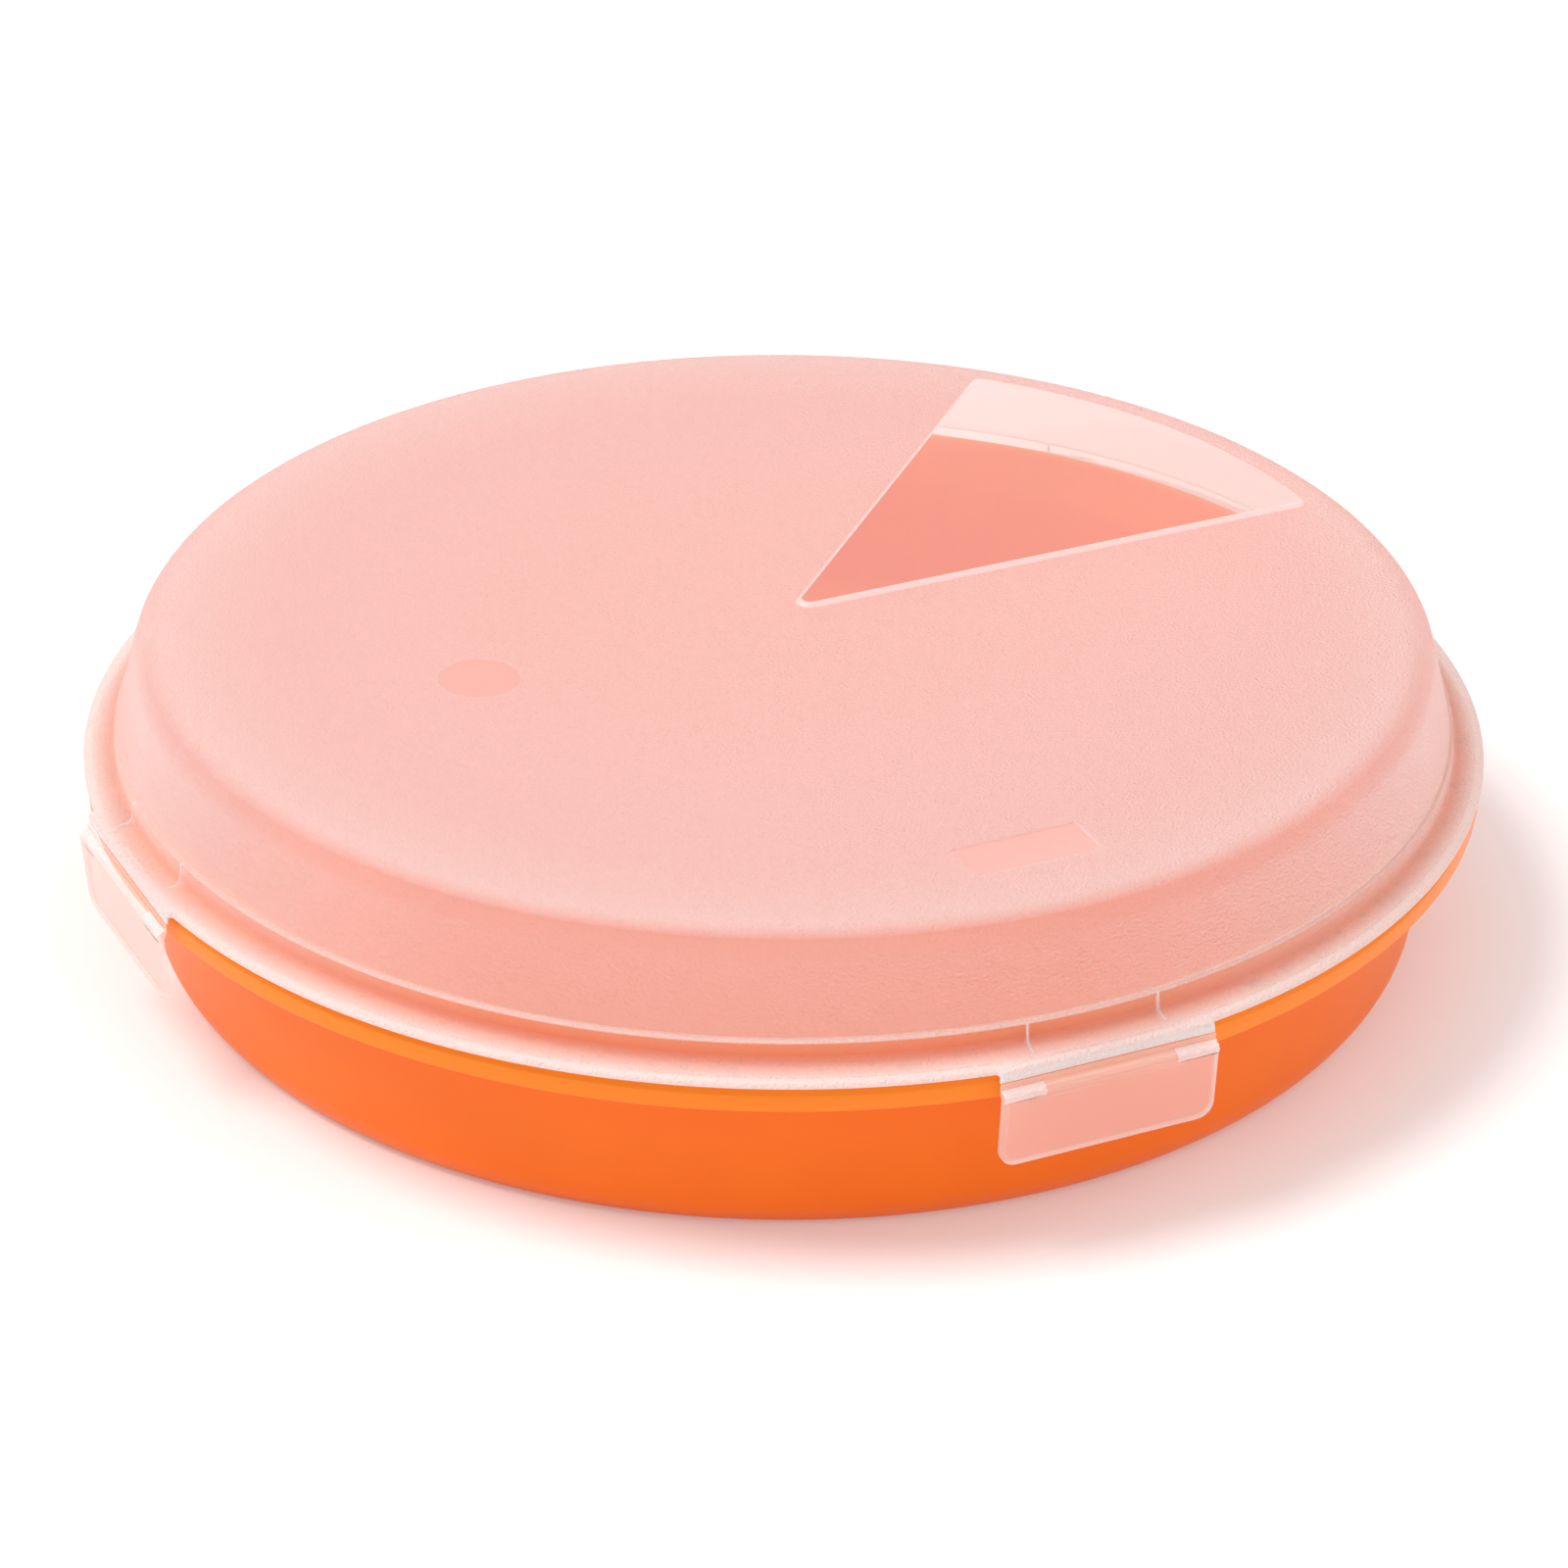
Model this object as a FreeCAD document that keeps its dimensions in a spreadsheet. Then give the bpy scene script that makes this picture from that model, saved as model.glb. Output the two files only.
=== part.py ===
import FreeCAD, Part
import math
import os

import Sketcher
from FreeCAD import Vector

# A round, shallow cake carrier: a bowl-like tray, a lift-off lid with a raised pie-slice window,
# and three clips that swing on the lid's edge and hook under the tray's rim.
# Frame: origin at the middle of the underside, +Z up, the front clip towards -Y. Millimetres, degrees.

SIZES = {
    # Tray: the lip's outer radius and the rim's height drive the rest
    "lip_radius": 136.2,
    "rim_height": 40.0,
    "lip_rise": 5.2,
    "lip_round": 0.6,
    "wall_draft": 4.24,
    "knee_height": 3.25,
    "knee_round": 11.0,
    "foot_setback": 4.36,
    "foot_width": 7.6,
    "foot_recess": 1.0,
    "tray_wall": 1.8,
    "tray_floor": 1.8,
    "floor_round": 9.0,
    "rim_width": 8.22,
    "rim_wall": 1.6,
    "rim_slope": 1.7,
    "rim_line_drop": 1.9,
    "rim_line_round": 0.4,
    "skirt_drop": 5.4,
    "skirt_flare": 0.12,
    "channel_round": 0.8,
    # Lid: a sheet that goes round the lip, with a flange that lies on the rim
    "lid_wall": 1.5,
    "lip_gap": 0.7,
    "ledge_gap": 0.4,
    "ledge_wall": 0.7,
    "ledge_width": 0.7,
    "ledge_round": 0.2,
    "riser_draft": 0.5,
    "riser_round": 2.0,
    "flange_width": 6.6,
    "flange_edge": 1.2,
    "flange_root": 1.6,
    "flange_round": 1.0,
    "dome_rise": 19.7,
    "dome_draft": 4.8,
    "shoulder_round": 7.0,
    # Raised window, a slice of the lid's flat top
    "window_angle": 45.0,
    "window_inset": 8.6,
    "window_raise": 0.8,
    "window_bevel": 1.25,
    "window_tip_round": 3.0,
    "window_corner_round": 2.5,
    # Shallow bare panel and round moulding mark in the lid's top
    "panel_reach": 109.0,
    "panel_length": 27.3,
    "panel_width": 11.5,
    "panel_depth": 0.35,
    "disc_reach": 68.0,
    "disc_radius": 8.5,
    "disc_depth": 0.25,
    # Hinge line: the lid's straight tabs, turned down at the edge, and the clips' knuckles under them
    "clip_width": 45.8,
    "tab_setback": 0.4,
    "tab_drop": 1.25,
    "tab_lip": 0.45,
    "tab_round": 1.0,
    "hinge_offset": 0.2,
    "hinge_gap": 0.1,
    "knuckle_radius": 0.3,
    # Clip: a thin neck, a sloped shoulder, a leaning plate with a beaded edge and a hook behind it
    "clip_lean": 5.0,
    "clip_stand": 2.0,
    "clip_wall": 1.4,
    "clip_drop": 1.6,
    "clip_length": 17.9,
    "neck_front": 0.2,
    "neck_back": 0.15,
    "neck_drop": 0.95,
    "neck_root": 1.3,
    "clip_corner": 3.5,
    "elbow_round": 0.8,
    "bead_width": 1.0,
    "bead_depth": 0.35,
    "hook_length": 28.0,
    "hook_bite": 1.4,
    "hook_gap": 0.4,
    "hook_tip": 1.2,
    "hook_ramp": 3.2,
}

FULL_TURN = 360
CLIP_TURNS = {"clip_front": 180, "clip_left": 90, "clip_back": -45}

# A sketch's origin, and the ends and middle of a piece of geometry, as constraints name them
ORIGIN = (-1, 1)
START, END, CENTRE = 1, 2, 3


class Bound:
    """A number worked out from the sheet's sizes, kept with the expression that says how."""

    def __init__(self, value, text):
        self.value = value
        self.text = text

    def __add__(self, other):
        return Bound(self.value + other.value, f"({self.text} + {other.text})")

    def __sub__(self, other):
        return Bound(self.value - other.value, f"({self.text} - {other.text})")

    def __mul__(self, other):
        return Bound(self.value * other.value, f"({self.text} * {other.text})")

    def __truediv__(self, other):
        return Bound(self.value / other.value, f"({self.text} / {other.text})")

    def __neg__(self):
        return Bound(-self.value, f"(-{self.text})")


class Sheet:
    """The spreadsheet of driving sizes: each name in it is an attribute that expressions can use."""

    def __init__(self, sizes):
        self.cells = doc.addObject("Spreadsheet::Sheet", "sizes")
        for row, (alias, value) in enumerate(sizes.items(), start=1):
            self.cells.set(f"A{row}", alias)
            self.cells.set(f"B{row}", str(value))
            self.cells.setAlias(f"B{row}", alias)
            setattr(self, alias, Bound(value, f"sizes.{alias}"))


def cosine(angle):
    return Bound(math.cos(math.radians(angle.value)), f"cos({angle.text})")


def sine(angle):
    return Bound(math.sin(math.radians(angle.value)), f"sin({angle.text})")


ZERO = Bound(0, "0")
TWO = Bound(2, "2")

doc = FreeCAD.newDocument("cake_carrier")
size = Sheet(SIZES)
doc.recompute()

# Radii and heights that several pieces share
lip_height = size.rim_height + size.lip_rise
knee_radius = size.lip_radius - size.wall_draft
skirt_radius = size.lip_radius + size.rim_width
rim_line_radius = skirt_radius - size.skirt_flare
skirt_height = size.rim_height - size.skirt_drop
riser_radius = size.lip_radius + size.lip_gap + size.lid_wall
flange_radius = riser_radius + size.flange_width
inner_ledge_height = lip_height + size.ledge_gap
ledge_height = inner_ledge_height + size.ledge_wall
dome_foot_radius = riser_radius - size.ledge_width
crown_radius = dome_foot_radius - size.dome_draft
lid_height = ledge_height + size.dome_rise
tab_reach = flange_radius - size.tab_setback
tab_foot = size.rim_height - size.tab_drop
hinge_reach = tab_reach + size.hinge_offset
hinge_height = tab_foot - size.hinge_gap - size.knuckle_radius


def bind(item, name, bound):
    """Ties one property of an object to the sheet."""
    item.setExpression(name, bound.text)


def new_body(label):
    body = doc.addObject("PartDesign::Body", label)
    body.Label = label
    return body


def new_sketch(body, name, role, lift=ZERO, turn=0):
    """A sketch on one of the body's own origin planes, turned about the plane's upright axis and lifted
    along its normal."""
    sketch = body.newObject("Sketcher::SketchObject", f"{body.Label}_{name}")
    plane = next(item for item in body.Origin.OriginFeatures if item.Role == role)
    sketch.AttachmentSupport = [(plane, "")]
    sketch.MapMode = "FlatFace"
    sketch.AttachmentOffset = FreeCAD.Placement(Vector(), FreeCAD.Rotation(Vector(0, 1, 0), turn))
    bind(sketch, "AttachmentOffset.Base.z", lift)
    return sketch


def limit(sketch, kind, *ends, bound=None):
    """Adds one constraint and, where it has a size, ties that to the sheet."""
    if bound is None:
        sketch.addConstraint(Sketcher.Constraint(kind, *ends))
        return
    index = sketch.addConstraint(Sketcher.Constraint(kind, *ends, bound.value))
    bind(sketch, f"Constraints[{index}]", bound)


def fixed_point(sketch, across, up):
    """A construction point held at two sizes from the sketch's origin."""
    point = sketch.addGeometry(Part.Point(Vector(across.value, up.value, 0)), True)
    limit(sketch, "DistanceX", *ORIGIN, point, START, bound=across)
    limit(sketch, "DistanceY", *ORIGIN, point, START, bound=up)
    return point


def turned_arc(middle, start, end):
    """An arc about middle from start to end, anticlockwise."""
    circle = Part.Circle(middle, Vector(0, 0, 1), start.distanceToPoint(middle))
    angles = [math.atan2(spot.y - middle.y, spot.x - middle.x) for spot in (start, end)]
    return Part.ArcOfCircle(circle, *angles)


def outline(sketch, corners):
    """A closed outline through corners, each (across, up) or (across, up, round): straight sides, with
    a tangent arc at each corner that has a round."""
    count = len(corners)
    spots = [Vector(corner[0].value, corner[1].value, 0) for corner in corners]
    points = [fixed_point(sketch, corner[0], corner[1]) for corner in corners]
    entries, exits, bends = list(spots), list(spots), {}
    for here, corner in enumerate(corners):
        if len(corner) == 2:
            continue
        back = (spots[here - 1] - spots[here]).normalize()
        ahead = (spots[(here + 1) % count] - spots[here]).normalize()
        half_angle = back.getAngle(ahead) / 2
        entries[here] = spots[here] + back * (corner[2].value / math.tan(half_angle))
        exits[here] = spots[here] + ahead * (corner[2].value / math.tan(half_angle))
        middle = spots[here] + (back + ahead).normalize() * (corner[2].value / math.sin(half_angle))
        turns_left = ahead.cross(back).z > 0
        ends = (entries[here], exits[here]) if turns_left else (exits[here], entries[here])
        bend = sketch.addGeometry(turned_arc(middle, *ends))
        bends[here] = (bend, START, END) if turns_left else (bend, END, START)
        limit(sketch, "Radius", bend, bound=corner[2])
    sides = []
    for here in range(count):
        side = Part.LineSegment(exits[here], entries[(here + 1) % count])
        sides.append(sketch.addGeometry(side))
    for here in range(count):
        before, after = sides[here - 1], sides[here]
        if here in bends:
            bend, first, last = bends[here]
            limit(sketch, "Tangent", before, END, bend, first)
            limit(sketch, "Tangent", after, START, bend, last)
            limit(sketch, "PointOnObject", points[here], START, before)
            limit(sketch, "PointOnObject", points[here], START, after)
        else:
            limit(sketch, "Coincident", before, END, points[here], START)
            limit(sketch, "Coincident", after, START, points[here], START)


def rectangle(sketch, low_across, low_up, high_across, high_up):
    corners = [(low_across, low_up), (high_across, low_up), (high_across, high_up), (low_across, high_up)]
    outline(sketch, corners)


def circle(sketch, across, up, radius):
    point = fixed_point(sketch, across, up)
    ring = sketch.addGeometry(Part.Circle(Vector(across.value, up.value, 0), Vector(0, 0, 1), radius.value))
    limit(sketch, "Coincident", ring, CENTRE, point, START)
    limit(sketch, "Radius", ring, bound=radius)


def revolve(body, sketch):
    turn = body.newObject("PartDesign::Revolution", f"{sketch.Name}_turn")
    turn.Profile = sketch
    turn.ReferenceAxis = (sketch, ["V_Axis"])
    turn.Angle = FULL_TURN
    return turn


def pad(body, sketch, length, centred=False):
    block = body.newObject("PartDesign::Pad", f"{sketch.Name}_pad")
    block.Profile = sketch
    block.Midplane = centred
    bind(block, "Length", length)
    return block


def pocket(body, sketch, depth, from_behind=False, centred=False):
    cut = body.newObject("PartDesign::Pocket", f"{sketch.Name}_pocket")
    cut.Profile = sketch
    cut.Reversed = from_behind
    cut.Midplane = centred
    bind(cut, "Length", depth)
    return cut


def tray_radius(height):
    """The outer radius of the tray's straight wall at a height."""
    share = (height - size.knee_height) / (lip_height - size.knee_height)
    return knee_radius + size.wall_draft * share


def make_tray():
    """Tray: foot ring, drafted wall, lip, and a rim whose skirt hangs clear of the wall."""
    body = new_body("base_tray")
    foot_radius = knee_radius - size.foot_setback
    foot_inner = foot_radius - size.foot_width
    floor_height = size.foot_recess + size.tray_floor
    channel_height = size.rim_height - size.rim_wall
    rim_line_height = size.rim_height - size.rim_line_drop
    section = new_sketch(body, "section", "XZ_Plane")
    outline(
        section,
        [
            (ZERO, size.foot_recess),
            (foot_inner, size.foot_recess),
            (foot_inner, ZERO),
            (foot_radius, ZERO),
            (knee_radius, size.knee_height, size.knee_round),
            (tray_radius(channel_height), channel_height, size.channel_round),
            (rim_line_radius - size.rim_wall, channel_height, size.channel_round),
            (skirt_radius - size.rim_wall, skirt_height),
            (skirt_radius, skirt_height),
            (rim_line_radius, rim_line_height, size.rim_line_round),
            (rim_line_radius - size.rim_slope, size.rim_height),
            (tray_radius(size.rim_height), size.rim_height),
            (size.lip_radius, lip_height, size.lip_round),
            (size.lip_radius - size.tray_wall, lip_height, size.lip_round),
            (tray_radius(floor_height) - size.tray_wall, floor_height, size.floor_round),
            (ZERO, floor_height),
        ],
    )
    revolve(body, section)
    return body


def add_tab(body, name, turn):
    """A straight cut across the flange's edge, and the tab there, turned down at its edge to the hinge."""
    tab_root = riser_radius + size.riser_draft + size.riser_round
    tab_height = size.rim_height + size.flange_edge
    lip_back = tab_reach - size.tab_lip
    flat = new_sketch(body, f"{name}_flat", "YZ_Plane", turn=turn)
    rectangle(flat, tab_reach, tab_foot, flange_radius + size.tab_setback, tab_height + size.tab_drop)
    pocket(body, flat, size.clip_width, centred=True)
    tab = new_sketch(body, f"{name}_tab", "YZ_Plane", turn=turn)
    outline(
        tab,
        [
            (tab_root, size.rim_height),
            (lip_back, size.rim_height),
            (lip_back, tab_foot),
            (tab_reach, tab_foot),
            (tab_reach, tab_height, size.tab_round),
            (tab_root, tab_height),
        ],
    )
    pad(body, tab, size.clip_width, centred=True)


def window_outline(sketch):
    """A slice of a disc with its tip at the sketch's origin and one side along its first axis; the tip
    and the two outer corners are rounded."""
    radius = crown_radius - size.window_inset
    tip, corner = size.window_tip_round, size.window_corner_round
    half_angle = math.radians(size.window_angle.value) / 2
    bisector = Vector(math.cos(half_angle), math.sin(half_angle), 0)

    def mirrored(spot):
        return bisector * (2 * spot.dot(bisector)) - spot

    tip_middle = bisector * (tip.value / math.sin(half_angle))
    tip_end = Vector(tip.value / math.tan(half_angle), 0, 0)
    corner_middle = Vector(math.sqrt((radius.value - corner.value) ** 2 - corner.value**2), corner.value, 0)
    side_end = Vector(corner_middle.x, 0, 0)
    arc_end = corner_middle * (radius.value / (radius.value - corner.value))
    tip_arc, side, corner_arc, outer_arc, far_corner_arc, far_side = [
        sketch.addGeometry(piece)
        for piece in (
            turned_arc(tip_middle, mirrored(tip_end), tip_end),
            Part.LineSegment(tip_end, side_end),
            turned_arc(corner_middle, side_end, arc_end),
            turned_arc(Vector(), arc_end, mirrored(arc_end)),
            turned_arc(mirrored(corner_middle), mirrored(arc_end), mirrored(side_end)),
            Part.LineSegment(mirrored(side_end), mirrored(tip_end)),
        )
    ]
    ring = [tip_arc, side, corner_arc, outer_arc, far_corner_arc, far_side]
    for here, piece in enumerate(ring):
        limit(sketch, "Tangent", ring[here - 1], END, piece, START)
    limit(sketch, "Horizontal", side)
    limit(sketch, "PointOnObject", *ORIGIN, side)
    limit(sketch, "PointOnObject", *ORIGIN, far_side)
    limit(sketch, "Coincident", outer_arc, CENTRE, *ORIGIN)
    limit(sketch, "Radius", outer_arc, bound=radius)
    limit(sketch, "Radius", tip_arc, bound=tip)
    limit(sketch, "Radius", corner_arc, bound=corner)
    limit(sketch, "Radius", far_corner_arc, bound=corner)
    limit(sketch, "Angle", side, START, far_side, END, bound=size.window_angle)


def make_lid():
    """Lid: domed sheet with a stepped foot and a flange, tabs, raised window and two shallow marks."""
    body = new_body("lid")
    riser_foot = riser_radius + size.riser_draft
    inner_crown_height = lid_height - size.lid_wall
    section = new_sketch(body, "section", "XZ_Plane")
    outline(
        section,
        [
            (ZERO, inner_crown_height),
            (crown_radius - size.lid_wall, inner_crown_height, size.shoulder_round - size.lid_wall),
            (dome_foot_radius - size.lid_wall, inner_ledge_height),
            (riser_radius - size.lid_wall, inner_ledge_height),
            (riser_foot - size.lid_wall, size.rim_height),
            (flange_radius, size.rim_height),
            (flange_radius, size.rim_height + size.flange_edge, size.flange_round),
            (riser_foot, size.rim_height + size.flange_root, size.riser_round),
            (riser_radius, ledge_height, size.ledge_round),
            (dome_foot_radius, ledge_height),
            (crown_radius, lid_height, size.shoulder_round),
            (ZERO, lid_height),
        ],
    )
    revolve(body, section)
    for name, turn in CLIP_TURNS.items():
        add_tab(body, name, turn)
    window = new_sketch(body, "window", "XY_Plane", lid_height)
    window_outline(window)
    raised = pad(body, window, size.window_raise)
    raised.setExpression("TaperAngle", f"-atan({size.window_bevel.text} / {size.window_raise.text})")
    half_length, half_width = size.panel_length / TWO, size.panel_width / TWO
    panel = new_sketch(body, "panel", "XY_Plane", lid_height)
    panel_near, panel_far = half_width - size.panel_reach, -size.panel_reach - half_width
    rectangle(panel, -half_length, panel_far, half_length, panel_near)
    pocket(body, panel, size.panel_depth)
    disc = new_sketch(body, "disc", "XY_Plane", lid_height)
    circle(disc, -size.disc_reach, ZERO, size.disc_radius)
    pocket(body, disc, size.disc_depth)
    return body


def in_clip(radius, height):
    """A point of the carrier's section in a clip's own leaning frame, whose origin is the hinge line."""
    out, up = radius - hinge_reach, height - hinge_height
    lean_cos, lean_sin = cosine(size.clip_lean), sine(size.clip_lean)
    return out * lean_cos - up * lean_sin, out * lean_sin + up * lean_cos


def make_clip(label, turn):
    """One clip: knuckle, neck, shoulder, plate with a beaded edge, and the hook that goes under the skirt.
    It is drawn upright about its hinge line, then leaned in and turned to its side of the carrier."""
    body = new_body(label)
    front = size.clip_stand
    back = front - size.clip_wall
    half_width = size.clip_width / TWO
    elbow_foot = -(size.clip_drop + size.clip_wall)
    knuckle = new_sketch(body, "knuckle", "YZ_Plane")
    circle(knuckle, ZERO, ZERO, size.knuckle_radius)
    pad(body, knuckle, size.clip_width, centred=True)
    shoulder = new_sketch(body, "shoulder", "YZ_Plane")
    outline(
        shoulder,
        [
            (size.neck_front, ZERO),
            (-size.neck_back, ZERO),
            (-size.neck_back, -size.neck_root),
            (back, elbow_foot),
            (front, elbow_foot),
            (front, -size.clip_drop, size.elbow_round),
            (size.neck_front, -size.neck_drop),
        ],
    )
    pad(body, shoulder, size.clip_width, centred=True)
    plate = new_sketch(body, "plate", "XZ_Plane", -front)
    outline(
        plate,
        [
            (-half_width, elbow_foot),
            (-half_width, -size.clip_length, size.clip_corner),
            (half_width, -size.clip_length, size.clip_corner),
            (half_width, elbow_foot),
        ],
    )
    pad(body, plate, size.clip_wall)
    tip_across, tip_up = in_clip(skirt_radius - size.hook_bite, skirt_height - size.hook_gap)
    hook = new_sketch(body, "hook", "YZ_Plane")
    outline(
        hook,
        [
            (back, tip_up),
            (tip_across, tip_up),
            (tip_across, tip_up - size.hook_tip),
            (back, tip_up - size.hook_tip - size.hook_ramp),
        ],
    )
    pad(body, hook, size.hook_length, centred=True)
    bead_side = half_width - size.bead_width
    bead_foot = size.bead_width - size.clip_length
    bead_corner = size.clip_corner - size.bead_width
    face = new_sketch(body, "face", "XZ_Plane", -front)
    outline(
        face,
        [
            (-bead_side, elbow_foot),
            (-bead_side, bead_foot, bead_corner),
            (bead_side, bead_foot, bead_corner),
            (bead_side, elbow_foot),
        ],
    )
    pocket(body, face, size.bead_depth, from_behind=True)
    body.setExpression(
        "Placement",
        f"placement(vector(0; 0; 0); rotation(vector(0; 0; 1); {turn}))"
        f" * placement(vector(0; {hinge_reach.text}; {hinge_height.text});"
        f" rotation(vector(1; 0; 0); -{size.clip_lean.text}))",
    )
    return body


pieces = [make_tray(), make_lid()]
pieces += [make_clip(label, turn) for label, turn in CLIP_TURNS.items()]
doc.recompute()

failed = [item.Name for item in doc.Objects if {"Invalid", "Error"} & set(item.State)]
failed += [piece.Label for piece in pieces if piece.Shape.isNull() or not piece.Shape.isValid()]
if failed:
    raise RuntimeError("failed to build: " + ", ".join(failed))

os.makedirs("parts", exist_ok=True)
for piece in pieces:
    piece.Shape.exportStep(f"parts/{piece.Label}.step")
    print(piece.Label, len(piece.Shape.Solids), round(piece.Shape.Volume, 1))
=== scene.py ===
"""Looks of a round cake carrier: orange tray, frosted lid with a clear wedge window, three hinged clips."""

import math

import bmesh
import bpy
from mathutils import Matrix, Vector, noise


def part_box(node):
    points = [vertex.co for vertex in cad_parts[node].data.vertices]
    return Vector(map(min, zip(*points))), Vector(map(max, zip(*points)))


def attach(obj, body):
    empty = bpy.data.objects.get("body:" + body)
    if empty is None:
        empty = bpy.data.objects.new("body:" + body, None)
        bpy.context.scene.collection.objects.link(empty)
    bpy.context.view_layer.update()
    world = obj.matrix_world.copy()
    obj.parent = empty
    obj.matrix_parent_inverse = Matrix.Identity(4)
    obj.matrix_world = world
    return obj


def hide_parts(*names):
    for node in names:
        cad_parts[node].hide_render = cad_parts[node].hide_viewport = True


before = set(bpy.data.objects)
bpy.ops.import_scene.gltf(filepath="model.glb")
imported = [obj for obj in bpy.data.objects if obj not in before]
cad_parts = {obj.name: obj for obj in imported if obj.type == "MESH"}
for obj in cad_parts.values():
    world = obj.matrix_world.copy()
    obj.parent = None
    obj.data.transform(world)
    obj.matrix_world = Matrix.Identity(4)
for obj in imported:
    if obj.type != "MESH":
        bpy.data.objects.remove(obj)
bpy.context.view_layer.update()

# Sizes are in millimetres, as on the maker's drawing, and a piece is brought to metres when it is finished.
MM = 0.001
UP = Vector((0, 0, 1))
ACROSS = Vector((1, 0, 0))
SECTION_NORMAL = Vector((0, 1, 0))
TURN_STEPS = 288
ARC_LEAST, ARC_FINENESS = 3, 4
MERGE = 0.01
NEAR = 1e-3
CREASE = math.radians(32)

# Heights and reaches that the solids give
TRAY_LOW, TRAY_HIGH = (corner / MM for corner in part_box("base_tray"))
LID_LOW, LID_HIGH = (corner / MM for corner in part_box("lid"))
LIP_TOP, SKIRT_REACH = TRAY_HIGH.z, TRAY_HIGH.x
FLANGE_REACH, TAB_REACH = LID_HIGH.x, -LID_LOW.x
TAB_FOOT, WINDOW_TOP = LID_LOW.z, LID_HIGH.z

# Tray section
FOOT_RECESS, FOOT_INNER, FOOT_OUTER, FOOT_ROUND = 1.0, 120.0, 127.6, 0.6
KNEE_REACH, KNEE_HEIGHT, KNEE_ROUND = 131.96, 3.25, 11.0
FLOOR_TOP, FLOOR_REACH, FLOOR_ROUND = 2.8, 130.11, 9.0
LIP_REACH, LIP_WALL, LIP_ROUND, LIP_FOOT = 136.2, 1.8, 0.6, 135.67
TAB_DROP = 1.25
RIM_TOP = TAB_FOOT + TAB_DROP
RIM_WALL, RIM_SLOPE, RIM_LINE_DROP, RIM_LINE_ROUND = 1.6, 1.7, 1.9, 0.4
SKIRT_DROP, SKIRT_FLARE, SKIRT_ROUND, CHANNEL_FOOT, CHANNEL_ROUND = 5.4, 0.12, 0.3, 135.51, 0.8

# Lid section
LID_WALL, WINDOW_RAISE = 1.5, 0.8
LID_TOP = WINDOW_TOP - WINDOW_RAISE
CROWN_REACH, SHOULDER_ROUND, INNER_ROUND = 132.9, 7.0, 5.5
INNER_CROWN_REACH, INNER_FOOT_REACH, INNER_LEDGE_REACH = 131.4, 136.2, 136.9
LEDGE_HEIGHT, LEDGE_WALL, LEDGE_ROUND = 46.3, 0.7, 0.45
DOME_FOOT, LEDGE_REACH = 137.7, 138.4
RISER_FOOT, RISER_ROUND, INNER_RISER_FOOT = 138.9, 2.0, 137.4
FLANGE_ROOT, FLANGE_EDGE, FLANGE_EDGE_ROUND, FLANGE_EDGE_STEPS = 1.6, 1.2, 1.0, 4
TOP_RING, FLANGE_RING = 125.9, 142.9

# Clips by their turn from the front, and the flange's straight tabs that they hang from
CLIP_TURNS = {"front": 0.0, "back": math.radians(135), "left": math.radians(270)}
CLIP_WIDTH = 45.8
TAB_INNER_ROUND, TAB_OUTER_ROUND, TAB_LIP, TAB_EDGE = 0.5, 0.35, 0.45, 0.12
TAB_LEAD, FLANGE_STEP = math.radians(0.6), math.radians(1.25)

# Thin upright ribs that run down the riser and out on the flange, beside each hinge
RIB_REACH, RIB_WIDTH, RIB_RAISE, RIB_ROOT, RIB_RUN, RIB_TOP_GAP = 14.0, 0.3, 0.25, 0.3, 2.6, 0.2

# Window, bare panel and moulding mark on the lid's top
WINDOW_TURN, WINDOW_REACH, WINDOW_STEPS = math.radians(45), 124.3, 18
WINDOW_TIP_ROUND, WINDOW_CORNER_ROUND = 3.0, 2.5
WINDOW_EDGE_STEPS = ((0.2, 0.24), (0.3, 0.26), (0.4, 0.2), (0.35, 0.1))
PANEL_REACH, PANEL_LENGTH, PANEL_WIDTH, PANEL_DEPTH, PANEL_ROUND = 109.0, 27.3, 11.5, 0.35, 0.7
DISC_REACH, DISC_RADIUS, DISC_DEPTH, DISC_STEPS = 68.0, 8.5, 0.25, 72
MARK_SLOPE = 0.3

# Clip, measured from its hinge line: outwards from the plate's face and down along it
HINGE_REACH, HINGE_HEIGHT, CLIP_LEAN = 144.8, 38.35, math.radians(5)
NECK_TOP, NECK_FRONT, NECK_BACK, NECK_DROP, NECK_ROOT, NECK_ROUND = 0.3, 0.2, 0.15, 0.95, 1.3, 0.1
CLIP_FACE, CLIP_WALL, CLIP_DROP, CLIP_LENGTH = 2.0, 1.4, 1.6, 17.9
CLIP_CORNER, CORNER_STEPS, EDGE_ROUND, EDGE_STEPS = 3.5, 8, 0.25, 2
ELBOW_ROUND, ELBOW_FOOT, FACE_TOP = 0.8, 3.0, 3.0
BEAD_STEPS = ((0.55, 0.0), (0.2, -0.15), (0.25, -0.2))
HOOK_HALF, HOOK_OUT, HOOK_TOP, HOOK_TIP, HOOK_FOOT = 14.0, -1.41, 4.29, 5.49, 8.69
STIPPLE_CUTS, STIPPLE_HEIGHT, STIPPLE_GRAIN = 14, 0.3, 0.45
# A clip's end faces point sideways by more than this
SIDEWAYS = 0.5


def add_arc(bm, vert, middle, axis, turn, steps):
    """Draws an arc from a vertex about a middle and gives its last vertex."""
    arc = bmesh.ops.spin(bm, geom=[vert], cent=middle, axis=axis, angle=turn, steps=steps)
    return next(item for item in arc["geom_last"] if isinstance(item, bmesh.types.BMVert))


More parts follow.
